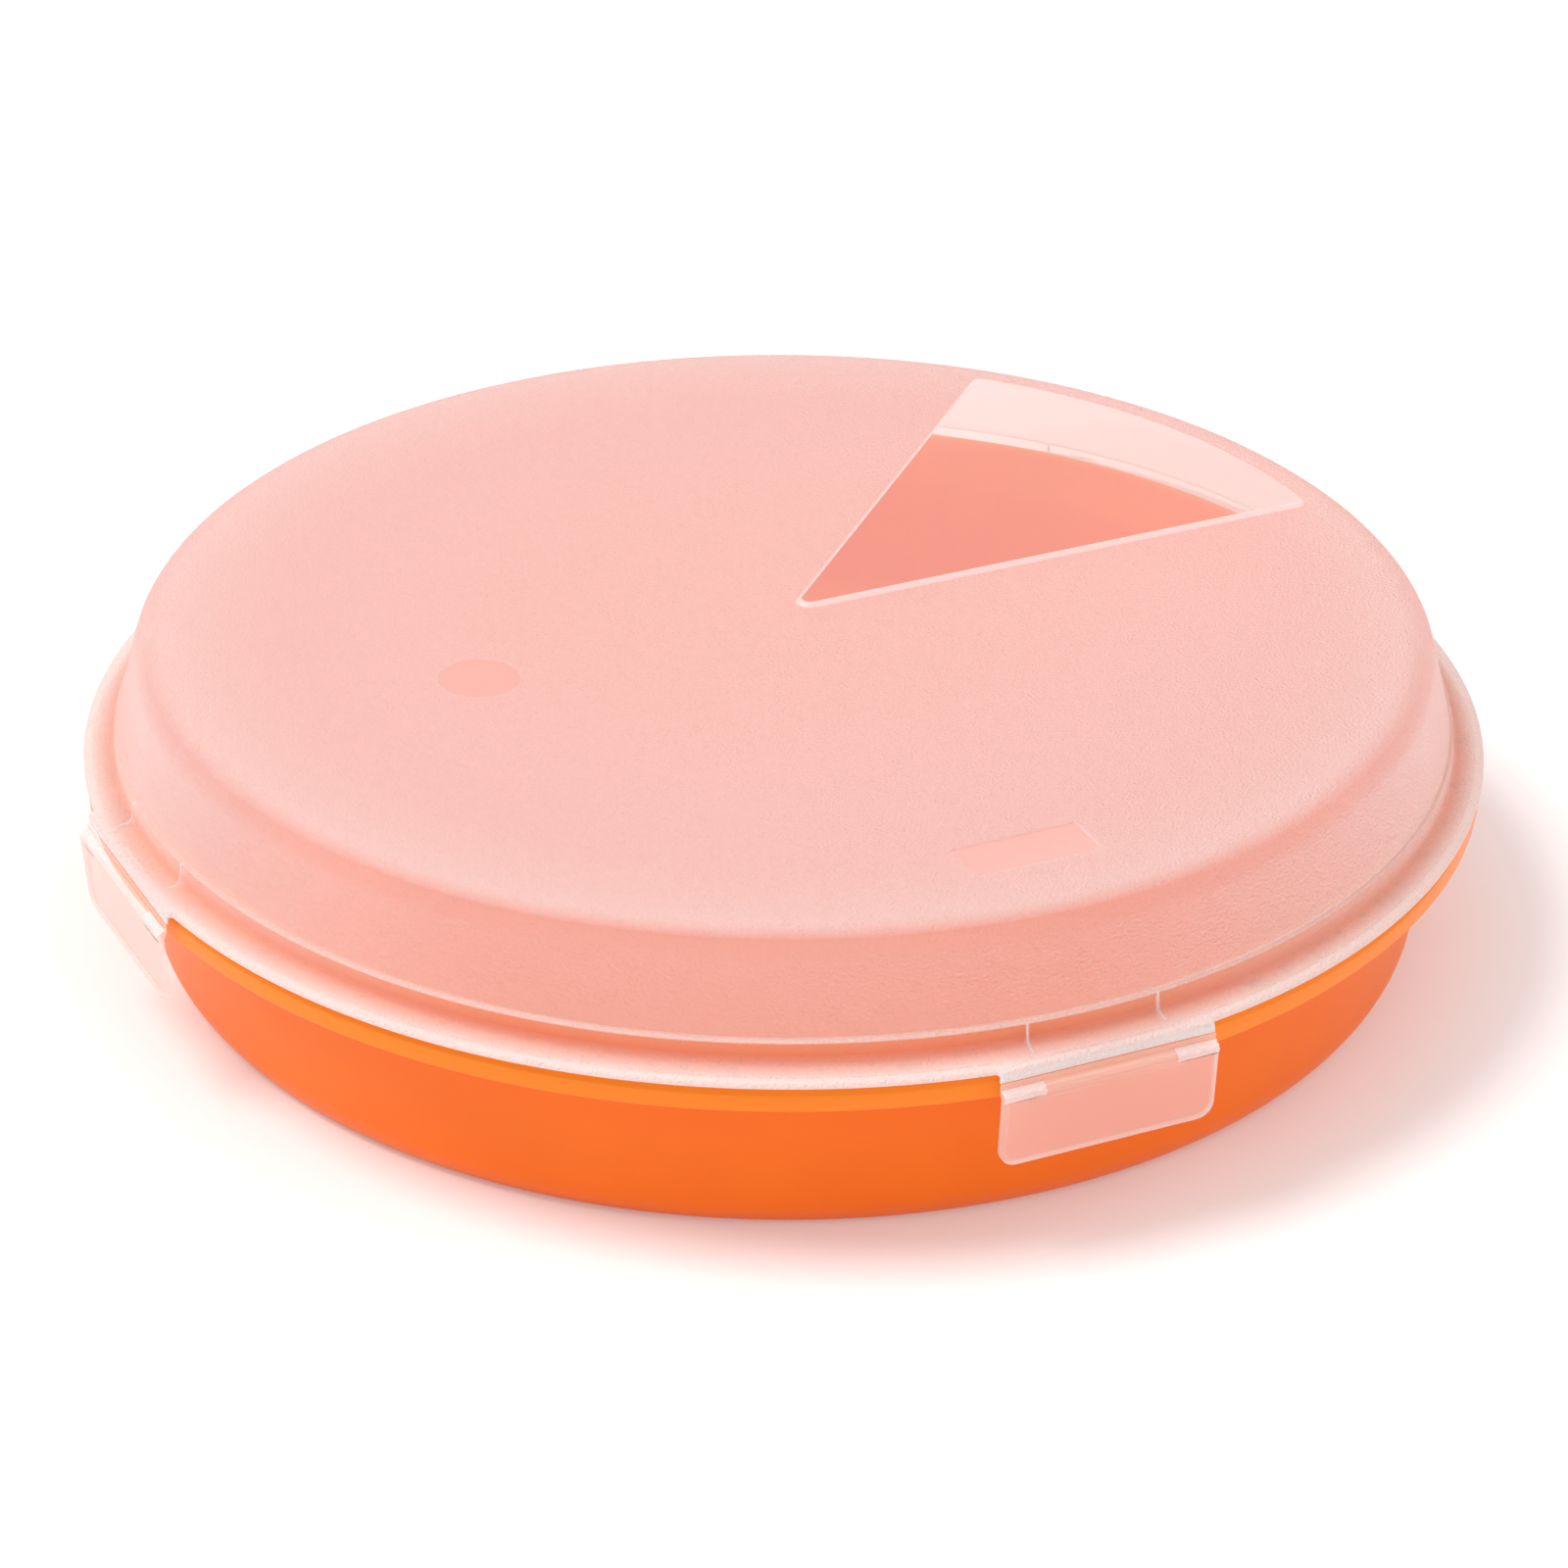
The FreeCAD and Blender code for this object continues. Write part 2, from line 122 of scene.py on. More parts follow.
def add_wire(bm, corners, normal, closed=False):
    """A wire through corners, each a point and a radius; a corner with a radius is turned as an arc.
    Gives the wire's edges and its last vertex."""
    before = set(bm.edges)
    points = [Vector(point) for point, radius in corners]
    first = last = None
    for here, (point, radius) in enumerate(corners):
        start = end = bm.verts.new(points[here])
        if radius:
            back = (points[here - 1] - points[here]).normalized()
            ahead = (points[(here + 1) % len(points)] - points[here]).normalized()
            half = back.angle(ahead) / 2
            start.co += back * (radius / math.tan(half))
            middle = points[here] + (back + ahead).normalized() * (radius / math.sin(half))
            turn = math.copysign(math.pi - 2 * half, normal.dot(ahead.cross(back)))
            steps = max(ARC_LEAST, round(abs(turn) * (ARC_FINENESS + radius) / 2))
            end = add_arc(bm, start, middle, normal, turn, steps)
        if last:
            bm.edges.new((last, start))
        first = first or start
        last = end
    if closed:
        bm.edges.new((last, first))
    return [edge for edge in bm.edges if edge not in before], last


def section(*corners):
    """Corners of an upright section as (reach, height) or (reach, height, radius)."""
    return [((reach, 0, height), rest[0] if rest else 0) for reach, height, *rest in corners]


def turn_fully(bm, edges):
    """Spins a section about the carrier's axis and closes its seam and poles; gives the new faces."""
    before = set(bm.faces)
    geom = edges + list({vert for edge in edges for vert in edge.verts})
    bmesh.ops.spin(bm, geom=geom, cent=(0, 0, 0), axis=UP, angle=math.tau, steps=TURN_STEPS, use_merge=True)
    bmesh.ops.remove_doubles(bm, verts=bm.verts, dist=MERGE)
    return [face for face in bm.faces if face not in before]


def open_loops(bm, height):
    """The edges at that height that have a face on one side at most."""
    return [
        edge
        for edge in bm.edges
        if len(edge.link_faces) < 2 and all(abs(vert.co.z - height) < NEAR for vert in edge.verts)
    ]


def fill_between(bm, edges):
    """Flat faces over the region that these loops bound."""
    made = bmesh.ops.triangle_fill(bm, edges=edges, use_beauty=True, normal=UP)["geom"]
    return [item for item in made if isinstance(item, bmesh.types.BMFace)]


def close_face(bm, edges, normal):
    """One face inside a closed wire, turned towards normal."""
    face = bmesh.ops.contextual_create(bm, geom=edges)["faces"][0]
    face.normal_update()
    if face.normal.dot(normal) < 0:
        face.normal_flip()
    return face


def grow(bm, faces, shift):
    """Extrudes faces by a shift; gives the vertices that moved."""
    grown = bmesh.ops.extrude_face_region(bm, geom=faces)["geom"]
    verts = [item for item in grown if isinstance(item, bmesh.types.BMVert)]
    bmesh.ops.translate(bm, verts=verts, vec=shift)
    return verts


def turn_piece(bm, kept, turn):
    """Turns the vertices that are not kept about the carrier's axis."""
    verts = [vert for vert in bm.verts if vert not in kept]
    bmesh.ops.rotate(bm, cent=(0, 0, 0), matrix=Matrix.Rotation(turn, 3, UP), verts=verts)


def step_in(bm, face, slope, depth):
    """Insets a face and moves it along its normal."""
    bmesh.ops.inset_region(bm, faces=[face], thickness=slope, depth=depth, use_even_offset=True)


def finish_piece(bm, name, materials, body, node):
    """Makes the object of a modelled piece: metres, smooth faces, sharp creases, its body, and hides its node.
    """
    bmesh.ops.recalc_face_normals(bm, faces=bm.faces)
    bmesh.ops.scale(bm, verts=bm.verts, vec=(MM, MM, MM))
    mesh = bpy.data.meshes.new(name)
    bm.to_mesh(mesh)
    bm.free()
    for material in materials:
        mesh.materials.append(material)
    mesh.shade_smooth()
    mesh.set_sharp_from_angle(angle=CREASE)
    piece = bpy.data.objects.new(name, mesh)
    bpy.context.scene.collection.objects.link(piece)
    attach(piece, body)
    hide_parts(node)
    return piece


def model_tray(materials):
    """Tray: one section turned round the axis, from the recess under the floor over the rim to the floor."""
    rim_line = SKIRT_REACH - SKIRT_FLARE
    skirt_foot = RIM_TOP - SKIRT_DROP
    bm = bmesh.new()
    edges, _ = add_wire(
        bm,
        section(
            (0, FOOT_RECESS),
            (FOOT_INNER, FOOT_RECESS),
            (FOOT_INNER, TRAY_LOW.z, FOOT_ROUND),
            (FOOT_OUTER, TRAY_LOW.z),
            (KNEE_REACH, KNEE_HEIGHT, KNEE_ROUND),
            (CHANNEL_FOOT, RIM_TOP - RIM_WALL, CHANNEL_ROUND),
            (rim_line - RIM_WALL, RIM_TOP - RIM_WALL, CHANNEL_ROUND),
            (SKIRT_REACH - RIM_WALL, skirt_foot, SKIRT_ROUND),
            (SKIRT_REACH, skirt_foot, SKIRT_ROUND),
            (rim_line, RIM_TOP - RIM_LINE_DROP, RIM_LINE_ROUND),
            (rim_line - RIM_SLOPE, RIM_TOP, RIM_LINE_ROUND),
            (LIP_FOOT, RIM_TOP),
            (LIP_REACH, LIP_TOP, LIP_ROUND),
            (LIP_REACH - LIP_WALL, LIP_TOP, LIP_ROUND),
            (FLOOR_REACH, FLOOR_TOP, FLOOR_ROUND),
            (0, FLOOR_TOP),
        ),
        SECTION_NORMAL,
    )
    turn_fully(bm, edges)
    return finish_piece(bm, "tray_moulding", materials, "tray", "base_tray")


def flange_outline(bm):
    """The flange's edge seen from above: a circle with a straight tab where each clip hangs."""
    half = CLIP_WIDTH / 2
    tab_turn = math.asin(half / FLANGE_REACH)
    lead = tab_turn + TAB_LEAD
    notch = -math.sqrt(FLANGE_REACH**2 - half**2)
    lead_spot = Vector((FLANGE_REACH * math.sin(lead), -FLANGE_REACH * math.cos(lead), RIM_TOP))
    turns = sorted(CLIP_TURNS.values())
    for turn, following in zip(turns, turns[1:] + [turns[0] + math.tau]):
        turned = Matrix.Rotation(turn, 3, UP)
        tab = [
            (lead_spot * Vector((-1, 1, 1)), 0),
            (Vector((-half, notch, RIM_TOP)), TAB_INNER_ROUND),
            (Vector((-half, -TAB_REACH, RIM_TOP)), TAB_OUTER_ROUND),
            (Vector((half, -TAB_REACH, RIM_TOP)), TAB_OUTER_ROUND),
            (Vector((half, notch, RIM_TOP)), TAB_INNER_ROUND),
            (lead_spot, 0),
        ]
        _, end = add_wire(bm, [(turned @ spot, radius) for spot, radius in tab], UP)
        arc_turn = following - turn - 2 * lead
        add_arc(bm, end, (0, 0, 0), UP, arc_turn, round(arc_turn / FLANGE_STEP))
    bmesh.ops.remove_doubles(bm, verts=bm.verts, dist=MERGE)
    return bm.edges[:]


def lift_loop(bm, edges, height, inset):
    """Extrudes a flange outline to a height, drawn in towards the axis, and gives the new loop."""
    grown = bmesh.ops.extrude_edge_only(bm, edges=edges)["geom"]
    verts = {item for item in grown if isinstance(item, bmesh.types.BMVert)}
    share = 1 - inset / FLANGE_REACH
    bmesh.ops.scale(bm, verts=list(verts), vec=(share, share, 1))
    for vert in verts:
        vert.co.z = height
    return [edge for edge in grown if isinstance(edge, bmesh.types.BMEdge) and verts.issuperset(edge.verts)]


def add_tab_lip(bm, turn):
    """The edge of a tab that is turned down to the hinge line; open above, where it meets the flange."""
    half = CLIP_WIDTH / 2
    front, behind = -TAB_REACH, TAB_LIP - TAB_REACH
    before = set(bm.verts)
    corners = [(-half, front), (half, front), (half, behind), (-half, behind)]
    edges, _ = add_wire(bm, [((x, y, TAB_FOOT), TAB_EDGE) for x, y in corners], UP, closed=True)
    upper = grow(bm, [close_face(bm, edges, -UP)], UP * TAB_DROP)
    cap = [face for face in upper[0].link_faces if set(upper).issuperset(face.verts)]
    bmesh.ops.delete(bm, geom=cap, context="FACES_ONLY")
    turn_piece(bm, before, turn)


def add_rib(bm, turn):
    """A thin rib down the riser; its outer edge follows the riser's section."""
    before = set(bm.verts)
    top, root = LEDGE_HEIGHT - RIB_TOP_GAP, RIM_TOP + FLANGE_ROOT - RIB_ROOT
    edges, _ = add_wire(
        bm,
        section(
            (LEDGE_REACH - RIB_ROOT, top),
            (LEDGE_REACH + RIB_RAISE, top),
            (RISER_FOOT + RIB_RAISE, RIM_TOP + FLANGE_ROOT + RIB_RAISE, RISER_ROUND - RIB_RAISE),
            (RISER_FOOT + RIB_RUN, RIM_TOP + FLANGE_ROOT),
            (RISER_FOOT + RIB_RUN, root),
            (LEDGE_REACH - RIB_ROOT, root),
        ),
        SECTION_NORMAL,
        closed=True,
    )
    face = close_face(bm, edges, -SECTION_NORMAL)
    bmesh.ops.translate(bm, verts=face.verts, vec=SECTION_NORMAL * (-RIB_WIDTH / 2))
    grow(bm, [face], SECTION_NORMAL * RIB_WIDTH)
    turn_piece(bm, before, turn - math.pi / 2)


# Order of the materials on the lid
FROSTED, CLEAR, SKIN, POLISHED, BEVEL = range(5)


def model_lid(materials):
    """Lid: flange with tabs, dome spun inside it, flat top with window, panel and mark, and an inner skin."""
    flange_top = RIM_TOP + FLANGE_EDGE
    slope = (FLANGE_ROOT - FLANGE_EDGE) / (FLANGE_REACH - RISER_FOOT)
    ring_top = flange_top + slope * (FLANGE_REACH - FLANGE_RING)
    inner_top, inner_ledge = LID_TOP - LID_WALL, LEDGE_HEIGHT - LEDGE_WALL
    bm = bmesh.new()
    loop = lift_loop(bm, flange_outline(bm), flange_top - FLANGE_EDGE_ROUND, 0)
    for step in range(1, FLANGE_EDGE_STEPS + 1):
        turn = math.pi / 2 * step / FLANGE_EDGE_STEPS
        rise, inset = math.sin(turn), 1 - math.cos(turn)
        loop = lift_loop(bm, loop, flange_top - FLANGE_EDGE_ROUND * (1 - rise), FLANGE_EDGE_ROUND * inset)
    outside, _ = add_wire(
        bm,
        section(
            (TOP_RING, LID_TOP),
            (CROWN_REACH, LID_TOP, SHOULDER_ROUND),
            (DOME_FOOT, LEDGE_HEIGHT),
            (LEDGE_REACH, LEDGE_HEIGHT, LEDGE_ROUND),
            (RISER_FOOT, RIM_TOP + FLANGE_ROOT, RISER_ROUND),
            (FLANGE_RING, ring_top),
        ),
        SECTION_NORMAL,
    )
    turn_fully(bm, outside)
    inside, _ = add_wire(
        bm,
        section(
            (TOP_RING, inner_top),
            (INNER_CROWN_REACH, inner_top, INNER_ROUND),
            (INNER_FOOT_REACH, inner_ledge),
            (INNER_LEDGE_REACH, inner_ledge),
            (INNER_RISER_FOOT, RIM_TOP),
            (FLANGE_RING, RIM_TOP),
        ),
        SECTION_NORMAL,
    )
    skin = turn_fully(bm, inside)
    fill_between(bm, open_loops(bm, ring_top) + open_loops(bm, flange_top))
    skin += fill_between(bm, open_loops(bm, RIM_TOP))
    skin += fill_between(bm, open_loops(bm, inner_top))

    window, panel, disc = window_face(bm), panel_face(bm), disc_face(bm)
    fill_between(bm, open_loops(bm, LID_TOP))
    window.material_index = BEVEL
    for inset, rise in WINDOW_EDGE_STEPS:
        step_in(bm, window, inset, rise)
    step_in(bm, panel, MARK_SLOPE, -PANEL_DEPTH)
    step_in(bm, disc, MARK_SLOPE, -DISC_DEPTH)
    for turn in CLIP_TURNS.values():
        add_tab_lip(bm, turn)
        for side in (-1, 1):
            add_rib(bm, turn + side * RIB_REACH / RISER_FOOT)
    window.material_index = CLEAR
    for face in (panel, disc):
        face.material_index = POLISHED
    for face in skin:
        face.material_index = SKIN
    return finish_piece(bm, "lid_moulding", materials, "lid", "lid")


def window_face(bm):
    """Wedge with its tip on the axis and a round outer side."""
    turns = [WINDOW_TURN * step / WINDOW_STEPS for step in range(WINDOW_STEPS + 1)]
    rounds = [WINDOW_CORNER_ROUND] + [0] * (WINDOW_STEPS - 1) + [WINDOW_CORNER_ROUND]
    corners = [((0, 0, LID_TOP), WINDOW_TIP_ROUND)]
    for turn, radius in zip(turns, rounds):
        corners.append(((WINDOW_REACH * math.cos(turn), WINDOW_REACH * math.sin(turn), LID_TOP), radius))
    edges, _ = add_wire(bm, corners, UP, closed=True)
    return close_face(bm, edges, UP)


def panel_face(bm):
    """Bare oblong near the front edge of the lid's top."""
    x, near, far = PANEL_LENGTH / 2, -PANEL_REACH - PANEL_WIDTH / 2, -PANEL_REACH + PANEL_WIDTH / 2
    corners = [(-x, near), (x, near), (x, far), (-x, far)]
    edges, _ = add_wire(bm, [((x, y, LID_TOP), PANEL_ROUND) for x, y in corners], UP, closed=True)
    return close_face(bm, edges, UP)


def disc_face(bm):
    """Round moulding mark on the lid's top."""
    place = Matrix.Translation((-DISC_REACH, 0, LID_TOP))
    rim = bmesh.ops.create_circle(bm, cap_ends=True, radius=DISC_RADIUS, segments=DISC_STEPS, matrix=place)
    return rim["verts"][0].link_faces[0]


def clip_spot(across, out, down):
    """A place on the front clip: across it, outwards from its hinge line and down along its leaning plate."""
    cos, sin = math.cos(CLIP_LEAN), math.sin(CLIP_LEAN)
    reach = HINGE_REACH + out * cos - down * sin
    return Vector((across, -reach, HINGE_HEIGHT - out * sin - down * cos))


HINGE = clip_spot(0, 0, 0)
OUTWARDS, DOWNWARDS = clip_spot(0, 1, 0) - HINGE, clip_spot(0, 0, 1) - HINGE


def out_of(spot):
    """How far outwards a place on the front clip is."""
    return (spot - HINGE).dot(OUTWARDS)


def down_of(spot):
    """How far down along the front clip's plate a place is."""
    return (spot - HINGE).dot(DOWNWARDS)


def middle_of(edge):
    """The place halfway along an edge."""
    return (edge.verts[0].co + edge.verts[1].co) / 2


def plate_face(bm):
    """The large outer face of the front clip."""
    return max(bm.faces, key=lambda face: face.normal.dot(OUTWARDS) * face.calc_area())


def round_edges(bm, edges, radius, steps):
    """Rounds edges to a radius."""
    bmesh.ops.bevel(bm, geom=edges, offset=radius, segments=steps, profile=0.5, affect="EDGES", material=-1)


def add_hook(bm, back):
    """Pulls the hook out of the back of the plate: flat above, where it catches the rim, and ramped below."""
    for across in (-HOOK_HALF, HOOK_HALF):
        geom = bm.verts[:] + bm.edges[:] + bm.faces[:]
        bmesh.ops.bisect_plane(bm, geom=geom, plane_co=(across, 0, 0), plane_no=ACROSS)
    middle = clip_spot(0, back, (HOOK_TOP + HOOK_FOOT) / 2)
    root = min(bm.faces, key=lambda face: (face.calc_center_median() - middle).length)
    for vert in grow(bm, [root], -OUTWARDS):
        upper = down_of(vert.co) < down_of(middle)
        vert.co = clip_spot(vert.co.x, HOOK_OUT, HOOK_TOP if upper else HOOK_TIP)
    bm.faces.remove(root)


def roughen(bm, faces):
    """Breaks faces up and moves their inner vertices in and out, as a spark-eroded mould leaves them."""
    edges = {edge for face in faces for edge in face.edges}
    made = bmesh.ops.subdivide_edges(bm, edges=list(edges), cuts=STIPPLE_CUTS, use_grid_fill=True)
    inner = [item for item in made["geom_inner"] if isinstance(item, bmesh.types.BMVert)]
    for vert in inner:
        vert.co += vert.normal * (STIPPLE_HEIGHT * noise.noise(vert.co / STIPPLE_GRAIN))


# Order of the materials on a clip
CLIP_PLASTIC, CLIP_WEB, CLIP_STIPPLE, CLIP_SKIN = range(4)


def model_clip(side, materials):
    """Clip: thin neck, shoulder with stippled ends, leaning plate with a beaded edge, and a hook behind."""
    half, back = CLIP_WIDTH / 2, CLIP_FACE - CLIP_WALL
    outline = [
        (-NECK_BACK, -NECK_TOP, NECK_ROUND),
        (NECK_FRONT, -NECK_TOP, NECK_ROUND),
        (NECK_FRONT, NECK_DROP, 0),
        (CLIP_FACE, CLIP_DROP, ELBOW_ROUND),
        (CLIP_FACE, FACE_TOP, 0),
        (CLIP_FACE, CLIP_LENGTH, 0),
        (back, CLIP_LENGTH, 0),
        (back, HOOK_FOOT, 0),
        (back, HOOK_TOP, 0),
        (back, ELBOW_FOOT, 0),
        (-NECK_BACK, NECK_ROOT, 0),
    ]
    bm = bmesh.new()
    corners = [(clip_spot(-half, out, down), radius) for out, down, radius in outline]
    edges, _ = add_wire(bm, corners, ACROSS, closed=True)
    grow(bm, [close_face(bm, edges, -ACROSS)], ACROSS * CLIP_WIDTH)
    bmesh.ops.recalc_face_normals(bm, faces=bm.faces)
    foot = [edge for edge in bm.edges if all(down_of(vert.co) > CLIP_LENGTH - NEAR for vert in edge.verts)]
    lower_corners = [edge for edge in foot if abs(edge.calc_length() - CLIP_WALL) < NEAR]
    round_edges(bm, lower_corners, CLIP_CORNER, CORNER_STEPS)
    free = [edge for edge in plate_face(bm).edges if down_of(middle_of(edge)) > FACE_TOP + NEAR]
    round_edges(bm, free, EDGE_ROUND, EDGE_STEPS)
    plate = plate_face(bm)
    for inset, depth in BEAD_STEPS:
        step_in(bm, plate, inset, depth)
    add_hook(bm, back)
    stipple = []
    for face in bm.faces:
        middle = face.calc_center_median()
        out, down = out_of(middle), down_of(middle)
        if down < NECK_DROP and abs(face.normal.x) < SIDEWAYS:
            face.material_index = CLIP_WEB
        elif out < back + NEAR and down > NECK_ROOT:
            face.material_index = CLIP_SKIN
        elif face.normal.dot(OUTWARDS) > NEAR and down < FACE_TOP and abs(middle.x) > HOOK_HALF:
            face.material_index = CLIP_STIPPLE
            stipple.append(face)
    roughen(bm, stipple)
    turn_piece(bm, [], CLIP_TURNS[side])
    name = f"clip_{side}"
    return finish_piece(bm, f"{name}_moulding", materials, name, name)


class Value:
    """A socket of a material; sums with it add Math nodes."""

    def __init__(self, finish, socket):
        self.finish = finish
        self.socket = socket

    def maths(self, operation, first, second):
        return self.finish.node("ShaderNodeMath", {"operation": operation}, {0: first, 1: second})

    def __add__(self, other):
        return self.maths("ADD", self, other)

    def __mul__(self, other):
        return self.maths("MULTIPLY", self, other)


class Finish:
    """A material under construction: node adds any node and gives its output as a Value."""

    def __init__(self, name):
        self.material = bpy.data.materials.new(name)
        self.material.use_nodes = True
        self.tree = self.material.node_tree
        self.tree.nodes.clear()

    def node(self, kind, settings=None, inputs=None, output=0):
        made = self.tree.nodes.new(kind)
        for name, value in (settings or {}).items():
            setattr(made, name, value)
        for name, value in (inputs or {}).items():
            if isinstance(value, Value):
                self.tree.links.new(value.socket, made.inputs[name])
            else:
                made.inputs[name].default_value = value
        return Value(self, made.outputs[output]) if made.outputs else None

    def place(self):
        return self.node("ShaderNodeTexCoord", output="Object")

    def along(self, axis):
        return self.node("ShaderNodeSeparateXYZ", None, {0: self.place()}, output=axis)

    def grain(self, size, detail=2.0):
        inputs = {"Vector": self.place(), "Scale": 1 / size, "Detail": detail}
        return self.node("ShaderNodeTexNoise", None, inputs)

    def bump(self, height, distance):
        return self.node("ShaderNodeBump", None, {"Height": height, "Distance": distance, "Strength": 1.0})

    def span(self, value, low, high, start, end):
        limits = {"From Min": low, "From Max": high, "To Min": start, "To Max": end}
        return self.node("ShaderNodeMapRange", {"clamp": True}, {"Value": value, **limits})

    def clouded(self, start, end, size, detail=2.0):
        return self.span(self.grain(size, detail), *GRAIN_RANGE, start, end)

    def tint(self, factor, first, second):
        inputs = {"Factor": factor, 6: first, 7: second}
        return self.node("ShaderNodeMix", {"data_type": "RGBA"}, inputs, output=2)

    def mix(self, share, first, second):
        return self.node("ShaderNodeMixShader", None, {0: share, 1: first, 2: second})

    def done(self, surface):
        self.node("ShaderNodeOutputMaterial", None, {"Surface": surface})
        return self.material


MILK = (0.99, 0.99, 0.99, 1)
PLAIN = (1, 1, 1, 1)
WARM = (1, 0.975, 0.95, 1)
# Grains, as sizes in metres, and the values between which a grain does most of its change
LEATHER, STIPPLE, CLOUD, SATIN = 0.0006, 0.0003, 0.026, 0.0004
GRAIN_RANGE = (0.3, 0.7)

# Lid: heights in metres between which its plastic turns from milky to clearer and back
FLANGE_CLEAR, LEDGE_CLEAR = (0.0412, 0.0436), (0.0458, 0.0461)
DOME_CLEAR, TOP_CLEAR = (0.0464, 0.0470), (0.0645, 0.0660)
# Shares of light that pass straight on, and how these fade where the wall is seen at a glance
RISER_SHARE, DOME_SHARE, FLANGE_SHARE = 0.74, 0.46, 0.26
GLANCE = (0.12, 0.72)
# Reaches in metres between which its top grows thinner and its flange paler, and the shares that scatter there
TOP_REACHES, TOP_SPREADS = (0.085, 0.128), (0.61, 0.67)
FLANGE_REACHES, FLANGE_SPREADS = (0.1395, 0.1440), (0.53, 0.48)
LID_ROUGHNESS, LID_IOR, LEATHER_DEPTH = 0.27, 1.5, 0.0006

# Tray: darker and lighter cloud, and painted light: the rim is painted a paler orange above these heights in
# metres
ORANGE_DARK, ORANGE_LIGHT, ORANGE_RIM_PAINTED_LIGHT = (0.92, 0.157, 0.003, 1), (0.95, 0.168, 0.004, 1), (0.97, 0.222, 0.004, 1)
RIM_PAINTED_LIGHT_HEIGHTS = (0.0335, 0.0345)
SATIN_ROUGHNESS, SATIN_DEPTH, TRAY_IOR = (0.34, 0.44), 0.000015, 1.33
RIM_COAT, COAT_ROUGHNESS = 0.15, 0.12

FLOOR_GREY, FLOOR_ROUGHNESS, FLOOR_GLOW, FLOOR_HALF = (0.84, 0.84, 0.84, 1), 0.7, 0.14, 6.0


def milky(finish, spread, clear, roughness, normal=None, clear_tint=PLAIN):
    """Sheet of milky plastic: spread is the share of light that it scatters through, clear the share that goes
    straight on."""
    bumped = {"Normal": normal} if normal else {}
    gloss = {"Base Color": MILK, "Roughness": roughness, "IOR": LID_IOR}
    front = finish.node("ShaderNodeBsdfPrincipled", None, gloss | bumped)
    through = finish.node("ShaderNodeBsdfTranslucent", None, {"Color": MILK} | bumped)
    sheet = finish.mix(spread, front, through)
    straight = finish.node("ShaderNodeBsdfTransparent", None, {"Color": clear_tint})
    return finish.done(finish.mix(clear, sheet, straight))


def polished(name, spread, clear, smooth, dull, clear_tint=PLAIN):
    """Milky plastic from a polished mould: its gloss clouds between two roughnesses."""
    finish = Finish(name)
    return milky(finish, spread, clear, finish.clouded(smooth, dull, CLOUD), clear_tint=clear_tint)


def grained(name, spread, clear, roughness, size, depth, detail=2.0):
    """Milky plastic from a rough mould: a grain of that size and depth."""
    finish = Finish(name)
    return milky(finish, spread, clear, roughness, finish.bump(finish.grain(size, detail), depth))


def frosted():
    """Lid: milky plastic with a leather grain; dome and riser let more light straight through."""
    finish = Finish("frosted_plastic")
    height, x, y = (finish.along(axis) for axis in "ZXY")
    reach = x * x + y * y
    top_reaches, flange_reaches = ([limit**2 for limit in limits] for limits in (TOP_REACHES, FLANGE_REACHES))
    riser = finish.span(height, *FLANGE_CLEAR, 0.0, RISER_SHARE) * finish.span(height, *LEDGE_CLEAR, 1.0, 0.0)
    dome = finish.span(height, *DOME_CLEAR, 0.0, DOME_SHARE) * finish.span(height, *TOP_CLEAR, 1.0, 0.0)
    root = finish.span(reach, *flange_reaches, FLANGE_SHARE, 0.0) * finish.span(height, *FLANGE_CLEAR, 1.0, 0.0)
    facing = finish.node("ShaderNodeLayerWeight", None, {"Blend": 0.5}, output="Facing")
    clear = (riser + dome) * finish.span(facing, *GLANCE, 1.0, 0.0) + root
    flange = finish.span(reach, *flange_reaches, *FLANGE_SPREADS)
    top = finish.span(reach, *top_reaches, *TOP_SPREADS)
    spread = finish.span(height, *FLANGE_CLEAR, flange, top)
    return milky(finish, spread, clear, LID_ROUGHNESS, finish.bump(finish.grain(LEATHER), LEATHER_DEPTH))


def orange_satin():
    """Tray: dyed satin plastic, clouded a little, with a fine grain, a glossier rim and painted light: the rim
    is painted a paler orange.
    """
    finish = Finish("orange_satin_plastic")
    fine = finish.grain(SATIN, 1.0)
    wall = finish.tint(finish.clouded(0.0, 1.0, CLOUD, 3.0), ORANGE_DARK, ORANGE_LIGHT)
    # Painted light: above these heights the rim is tinted a paler orange; the same mask gives the rim its real
    # glossier coat.
    rim = finish.span(finish.along("Z"), *RIM_PAINTED_LIGHT_HEIGHTS, 0.0, 1.0)
    satin = {
        "Base Color": finish.tint(rim, wall, ORANGE_RIM_PAINTED_LIGHT),
        "Roughness": finish.span(fine, *GRAIN_RANGE, *SATIN_ROUGHNESS),
        "IOR": TRAY_IOR,
        "Coat Weight": rim * RIM_COAT,
        "Coat Roughness": COAT_ROUGHNESS,
        "Normal": finish.bump(fine, SATIN_DEPTH),
    }
    return finish.done(finish.node("ShaderNodeBsdfPrincipled", None, satin))


def pale_floor():
    """Floor: plain and pale, with a faint glow that keeps it white."""
    finish = Finish("pale_floor")
    paint = {"Base Color": FLOOR_GREY, "Roughness": FLOOR_ROUGHNESS}
    glow = {"Emission Color": PLAIN, "Emission Strength": FLOOR_GLOW}
    return finish.done(finish.node("ShaderNodeBsdfPrincipled", None, paint | glow))


# Camera: azimuth and elevation as seen from the carrier, roll about the line of sight
AZIMUTH, ELEVATION, ROLL = math.radians(-25.3), math.radians(28.5511), math.radians(0.3469)
DISTANCE, TARGET = 1.24732, Vector((0.0000834, -0.0000394, 0.0261136))
SENSOR, LENS = 36.0, 136.80


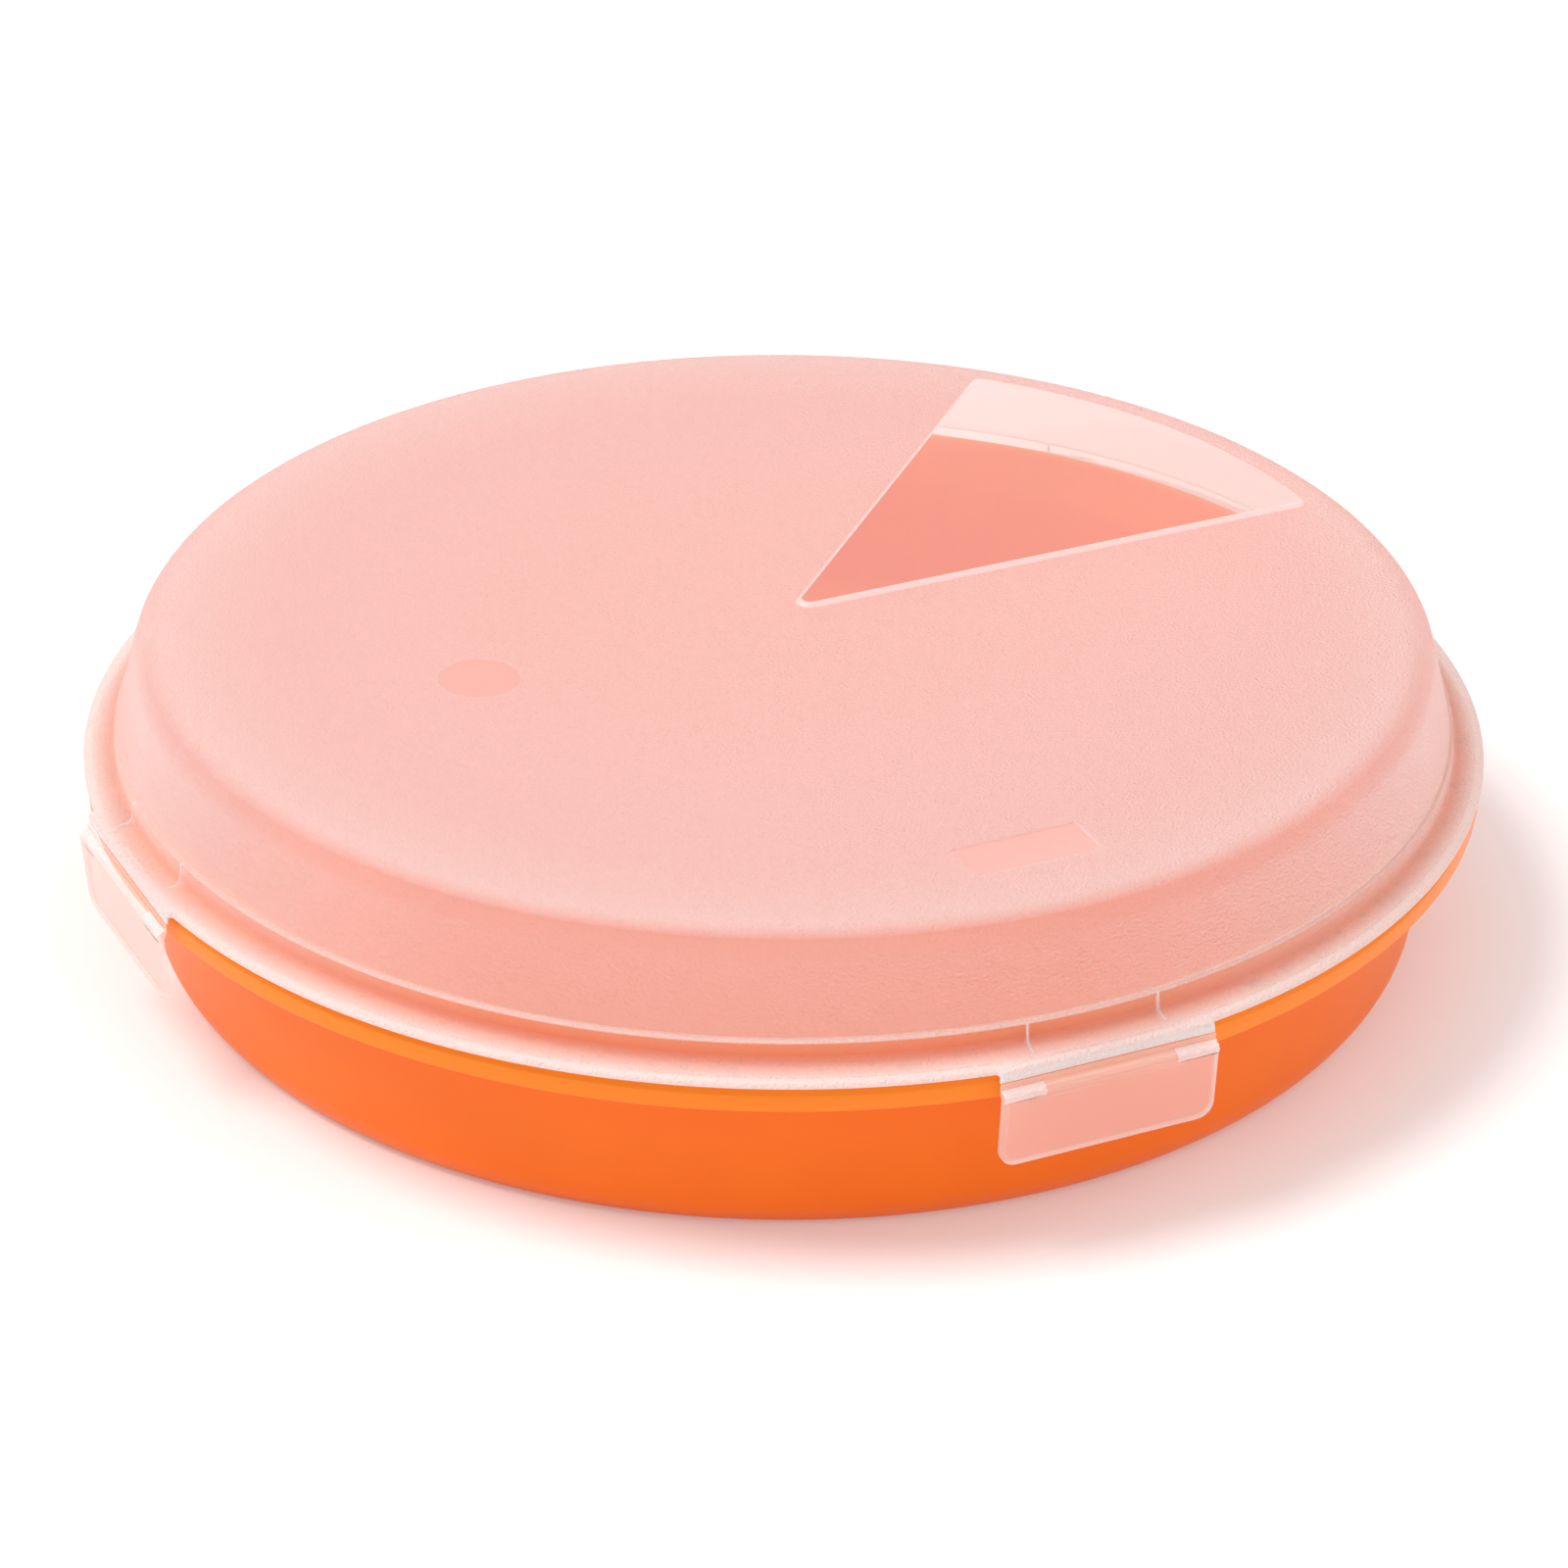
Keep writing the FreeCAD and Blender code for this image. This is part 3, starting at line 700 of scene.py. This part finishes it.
def set_camera():
    """Camera at the photograph's place."""
    level = Vector((math.cos(AZIMUTH), math.sin(AZIMUTH), 0))
    back = level.cross(UP) * math.cos(ELEVATION) + UP * math.sin(ELEVATION)
    right = level * math.cos(ROLL) + back.cross(level) * math.sin(ROLL)
    axes = Matrix((right, back.cross(right), back)).transposed()
    lens = bpy.data.cameras.new("camera")
    lens.sensor_width = SENSOR
    lens.lens = LENS
    camera = bpy.data.objects.new("camera", lens)
    camera.matrix_world = Matrix.Translation(TARGET + back * DISTANCE) @ axes.to_4x4()
    bpy.context.scene.collection.objects.link(camera)
    bpy.context.scene.camera = camera


def set_floor():
    """Flat floor under the carrier."""
    bm = bmesh.new()
    bmesh.ops.create_grid(bm, x_segments=1, y_segments=1, size=FLOOR_HALF)
    mesh = bpy.data.meshes.new("floor")
    bm.to_mesh(mesh)
    bm.free()
    mesh.materials.append(pale_floor())
    floor = bpy.data.objects.new("floor", mesh)
    bpy.context.scene.collection.objects.link(floor)


# Lamps: which way their light travels, how strong and how wide they are
LAMPS = {
    "key": (Vector((0.88, -0.42, -1.55)), 1.95, math.radians(30)),
    "fill": (Vector((-0.75, 0.7, -0.9)), 0.46, math.radians(70)),
    "back": (Vector((-0.42, -0.89, -0.17)), 0.08, math.radians(20)),
}
SURROUND = 0.69


def set_light():
    """White surroundings, a key from the left, a wide fill from the front right, a faint light from behind."""
    scene = bpy.context.scene
    world = bpy.data.worlds.new("studio")
    world.use_nodes = True
    surround = world.node_tree.nodes["Background"]
    surround.inputs["Color"].default_value = PLAIN
    surround.inputs["Strength"].default_value = SURROUND
    scene.world = world
    for name, (travel, strength, width) in LAMPS.items():
        light = bpy.data.lights.new(name, "SUN")
        light.energy, light.angle = strength, width
        lamp = bpy.data.objects.new(name, light)
        lamp.rotation_mode = "QUATERNION"
        lamp.rotation_quaternion = travel.to_track_quat("-Z", "Y")
        scene.collection.objects.link(lamp)
    scene.view_settings.view_transform = "Standard"


set_camera()
set_floor()
set_light()
inner_skin = polished("inner_skin", spread=0.5, clear=0.98, smooth=0.2, dull=0.3)
window = polished("clear_window_plastic", spread=0.6, clear=0.52, smooth=0.06, dull=0.1, clear_tint=WARM)
bevel = polished("window_bevel_plastic", spread=0.5, clear=0.0, smooth=0.1, dull=0.16)
marks = polished("smooth_frosted_plastic", spread=0.66, clear=0.07, smooth=0.18, dull=0.24)
web = polished("thin_web_plastic", spread=0.6, clear=0.6, smooth=0.18, dull=0.24)
plate = grained("clip_plastic", spread=0.57, clear=0.4, roughness=0.3, size=LEATHER, depth=0.00003)
stipple = grained(
    "stippled_plastic", spread=0.4, clear=0.12, roughness=0.22, size=STIPPLE, depth=0.0002, detail=1.0
)

model_tray([orange_satin()])
model_lid([frosted(), window, inner_skin, marks, bevel])
for side in CLIP_TURNS:
    model_clip(side, [plate, web, stipple, inner_skin])

bpy.context.view_layer.update()
